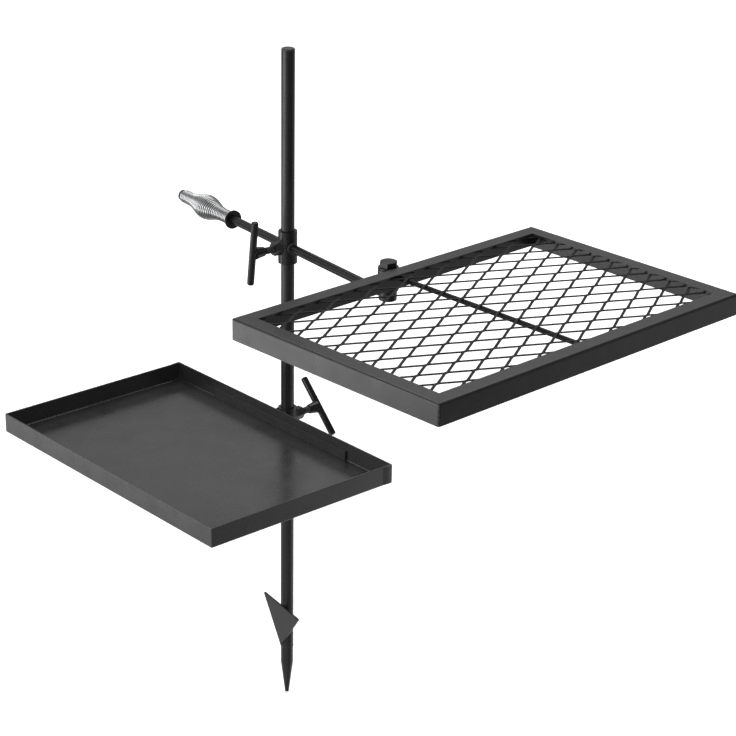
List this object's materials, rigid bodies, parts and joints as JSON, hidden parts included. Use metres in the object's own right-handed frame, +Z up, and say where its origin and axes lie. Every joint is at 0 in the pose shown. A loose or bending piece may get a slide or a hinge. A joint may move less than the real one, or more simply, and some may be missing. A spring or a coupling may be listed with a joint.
{
  "type": "swing arm campfire grill",
  "caption": "Stake-mounted campfire grill: a framed mesh grate on a swinging arm with a coil handle, and a clamped tray below it.",
  "frame": {"origin": "on the pole's axis at ground level, which is the step plate's top edge when the stake is driven in", "axes": "+Z up along the pole, -X from the pole over the tray, whose sides lie along the axes, +Y from the grate towards the coil handle; at rest the arm is turned 5.6 degrees and the grate 2 degrees from the axes, as in the picture"},
  "size_m": [0.5766, 0.9003, 1.0008],
  "materials": {
    "black_steel": "satin black high-temperature powder coat",
    "bare_steel": "plain machined steel",
    "black_oxide": "black oxide, lightly oiled",
    "chrome_wire": "bright plated spring wire",
    "black_plastic": "moulded, fine matt"
  },
  "bodies": {
    "pole": {"lower_pole": "black_steel", "ground_spike": "black_steel", "step_plate": "black_steel"},
    "upper_pole": {"upper_pole": "black_steel", "pole_spigot": "bare_steel"},
    "arm": {"arm_collar": "black_steel", "arm_collar_nut": "black_steel", "grill_arm_rod": "black_steel", "handle_rod": "black_steel", "handle_stop_disc": "black_steel", "handle_coil": "chrome_wire", "arm_end_boss": "black_steel", "pivot_bolt": "black_steel", "pivot_washer": "black_steel"},
    "arm_screw": {"arm_screw_stem": "black_oxide"},
    "arm_tee": {"arm_tee_hub": "black_steel", "arm_tee_bar": "black_steel"},
    "grate": {"pivot_sleeve": "black_steel", "grate_rear_rail": "black_steel", "grate_front_rail": "black_steel", "grate_left_rail": "black_steel", "grate_right_rail": "black_steel", "grate_mesh": "black_steel", "grate_crossbar": "black_steel"},
    "cap": {"pole_cap": "black_plastic"},
    "tray": {"tray_pan": "black_steel", "tray_stiffener": "black_steel", "tray_collar": "black_steel", "tray_collar_nut": "black_steel"},
    "tray_screw": {"tray_screw_stem": "black_oxide"},
    "tray_tee": {"tray_tee_hub": "black_steel", "tray_tee_bar": "black_steel"}
  },
  "joints": [
    {"name": "arm_swing", "type": "hinge", "parent": "pole", "child": "upper_pole", "pos_m": [0, 0, 0.354], "axis": [0, 0, 1], "continuous": true},
    {"name": "arm_height", "type": "slide", "parent": "upper_pole", "child": "arm", "axis": [0, 0, 1], "range_m": [-0.18, 0.25]},
    {"name": "grate_swivel", "type": "hinge", "parent": "arm", "child": "grate", "pos_m": [-0.02311, -0.23567, 0.588], "axis": [0, 0, 1], "range_deg": [-75, 80]},
    {"name": "arm_screw_travel", "type": "slide", "parent": "arm", "child": "arm_screw", "axis": [-0.9952, 0.0976, 0], "range_m": [0, 0.0045]},
    {"name": "arm_screw_turn", "type": "hinge", "parent": "arm_screw", "child": "arm_tee", "pos_m": [-0.05832, 0.00572, 0.566], "axis": [-0.9952, 0.0976, 0], "range_deg": [0, 1080]},
    {"name": "tray_swing", "type": "hinge", "parent": "pole", "child": "cap", "pos_m": [0, 0, 0.846], "axis": [0, 0, 1], "continuous": true},
    {"name": "tray_height", "type": "slide", "parent": "cap", "child": "tray", "axis": [0, 0, 1], "range_m": [-0.25, 0.03]},
    {"name": "tray_screw_travel", "type": "slide", "parent": "tray", "child": "tray_screw", "axis": [1, 0, 0], "range_m": [0, 0.0045]},
    {"name": "tray_screw_turn", "type": "hinge", "parent": "tray_screw", "child": "tray_tee", "pos_m": [0.0586, 0, 0.3062], "axis": [1, 0, 0], "range_deg": [0, 1080]}
  ],
  "couplings": [
    {"joint": "arm_screw_travel", "follows": "arm_screw_turn", "m_per_rad": 0.00023873},
    {"joint": "tray_screw_travel", "follows": "tray_screw_turn", "m_per_rad": 0.00023873}
  ]
}
